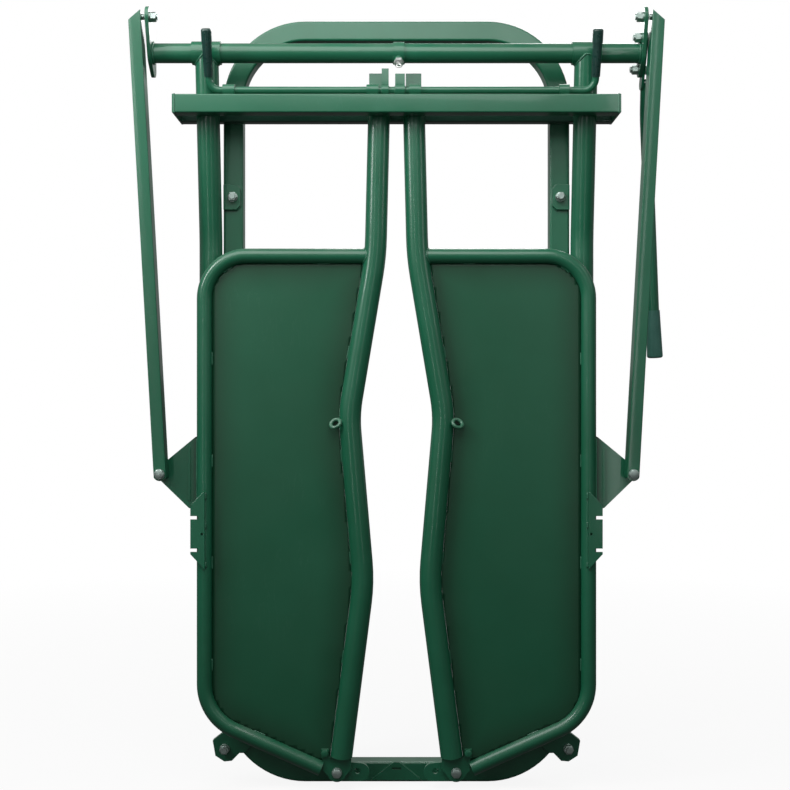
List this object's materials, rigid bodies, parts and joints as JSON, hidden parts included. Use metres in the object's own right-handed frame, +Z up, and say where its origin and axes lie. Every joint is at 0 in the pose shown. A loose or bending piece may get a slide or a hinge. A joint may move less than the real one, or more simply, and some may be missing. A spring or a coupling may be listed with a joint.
{
  "type": "cattle head gate",
  "caption": "Swing-stanchion gate that holds an animal's neck: hoop frame, twin sheeted doors, lifting shaft with arms and links, pull handle and latch rod.",
  "frame": {"origin": "middle of the flat underside of the hoop's bottom tube", "axes": "+Z up; +X to the right of someone who faces the gate's front; +Y back into the crush"},
  "size_m": [1.1805, 0.2438, 1.71],
  "materials": {
    "green_paint": "glossy green enamel",
    "green_sheet": "glossy green enamel on flat sheet",
    "zinc": "bright zinc plate",
    "handle_grip": "grey-green moulded",
    "latch_grip": "dark satin"
  },
  "bodies": {
    "frame": {"bow": "green_paint", "front_rail": "green_paint", "rear_rail": "green_paint", "left_rail_end_plate": "green_paint", "right_rail_end_plate": "green_paint", "left_post": "green_paint", "right_post": "green_paint", "left_bearing_sleeve": "green_paint", "right_bearing_sleeve": "green_paint", "left_base_lug": "green_paint", "right_base_lug": "green_paint", "left_pivot_bolt": "zinc", "right_pivot_bolt": "zinc", "upper_lugs": "green_paint", "lower_lugs": "green_paint", "mounting_studs": "zinc", "mounting_nuts": "zinc", "centre_gusset": "green_paint", "rod_guides": "green_paint"},
    "lift_shaft": {"shaft": "green_paint", "left_arm": "green_paint", "right_arm": "green_paint", "handle": "green_paint", "handle_grip": "handle_grip", "handle_bolts": "zinc", "trigger_band": "green_paint", "trigger_bolt": "zinc", "left_arm_pin": "zinc", "right_arm_pin": "zinc"},
    "latch": {"latch_rod": "green_paint", "left_latch_grip": "latch_grip", "right_latch_grip": "latch_grip", "left_latch_dog": "green_paint", "right_latch_dog": "green_paint"},
    "left_door": {"left_stanchion": "green_paint", "left_catch_tab": "green_paint", "left_door_frame": "green_paint", "left_door_sheet": "green_sheet", "left_link_bracket": "green_paint", "left_notch_plate": "green_paint", "left_neck_hook": "green_paint", "left_pivot_plate": "green_paint", "left_foot_tab": "green_paint"},
    "left_link_bolt": {"left_link_foot_bolt": "zinc"},
    "left_link_arm": {"left_link": "green_paint", "left_link_head_bolt": "zinc"},
    "right_door": {"right_stanchion": "green_paint", "right_catch_tab": "green_paint", "right_door_frame": "green_paint", "right_door_sheet": "green_sheet", "right_link_bracket": "green_paint", "right_notch_plate": "green_paint", "right_neck_hook": "green_paint", "right_pivot_plate": "green_paint", "right_foot_tab": "green_paint"},
    "right_link_bolt": {"right_link_foot_bolt": "zinc"},
    "right_link_arm": {"right_link": "green_paint", "right_link_head_bolt": "zinc"}
  },
  "joints": [
    {"name": "shaft_turn", "type": "hinge", "parent": "frame", "child": "lift_shaft", "pos_m": [0, -0.09992, 1.616], "axis": [1, 0, 0], "range_deg": [0, 80]},
    {"name": "latch_turn", "type": "hinge", "parent": "frame", "child": "latch", "pos_m": [0, -0.12323, 1.5297], "axis": [1, 0, 0], "range_deg": [0, 25]},
    {"name": "left_door_swing", "type": "hinge", "parent": "frame", "child": "left_door", "pos_m": [-0.131, -0.08123, 0.04], "axis": [0, 1, 0], "range_deg": [-11.69, 0]},
    {"name": "left_link_swing", "type": "hinge", "parent": "left_door", "child": "left_link_bolt", "pos_m": [-0.5123, -0.11002, 0.6983], "axis": [0, 1, 0], "range_deg": [0, 18.99]},
    {"name": "left_link_tip", "type": "hinge", "parent": "left_link_bolt", "child": "left_link_arm", "pos_m": [-0.5123, -0.11002, 0.6983], "axis": [1, 0, 0], "range_deg": [0, 2]},
    {"name": "right_door_swing", "type": "hinge", "parent": "frame", "child": "right_door", "pos_m": [0.131, -0.08123, 0.04], "axis": [0, 1, 0], "range_deg": [0, 11.69]},
    {"name": "right_link_swing", "type": "hinge", "parent": "right_door", "child": "right_link_bolt", "pos_m": [0.5123, -0.11002, 0.6983], "axis": [0, 1, 0], "range_deg": [-18.99, 0]},
    {"name": "right_link_tip", "type": "hinge", "parent": "right_link_bolt", "child": "right_link_arm", "pos_m": [0.5123, -0.11002, 0.6983], "axis": [1, 0, 0], "range_deg": [0, 2]}
  ],
  "couplings": [
    {"joint": "left_door_swing", "follows": "shaft_turn", "ratio": -0.1461},
    {"joint": "left_link_swing", "follows": "shaft_turn", "ratio": 0.23741},
    {"joint": "left_link_tip", "follows": "shaft_turn", "ratio": 0.024949},
    {"joint": "right_door_swing", "follows": "shaft_turn", "ratio": 0.1461},
    {"joint": "right_link_swing", "follows": "shaft_turn", "ratio": -0.23741},
    {"joint": "right_link_tip", "follows": "shaft_turn", "ratio": 0.024949}
  ]
}
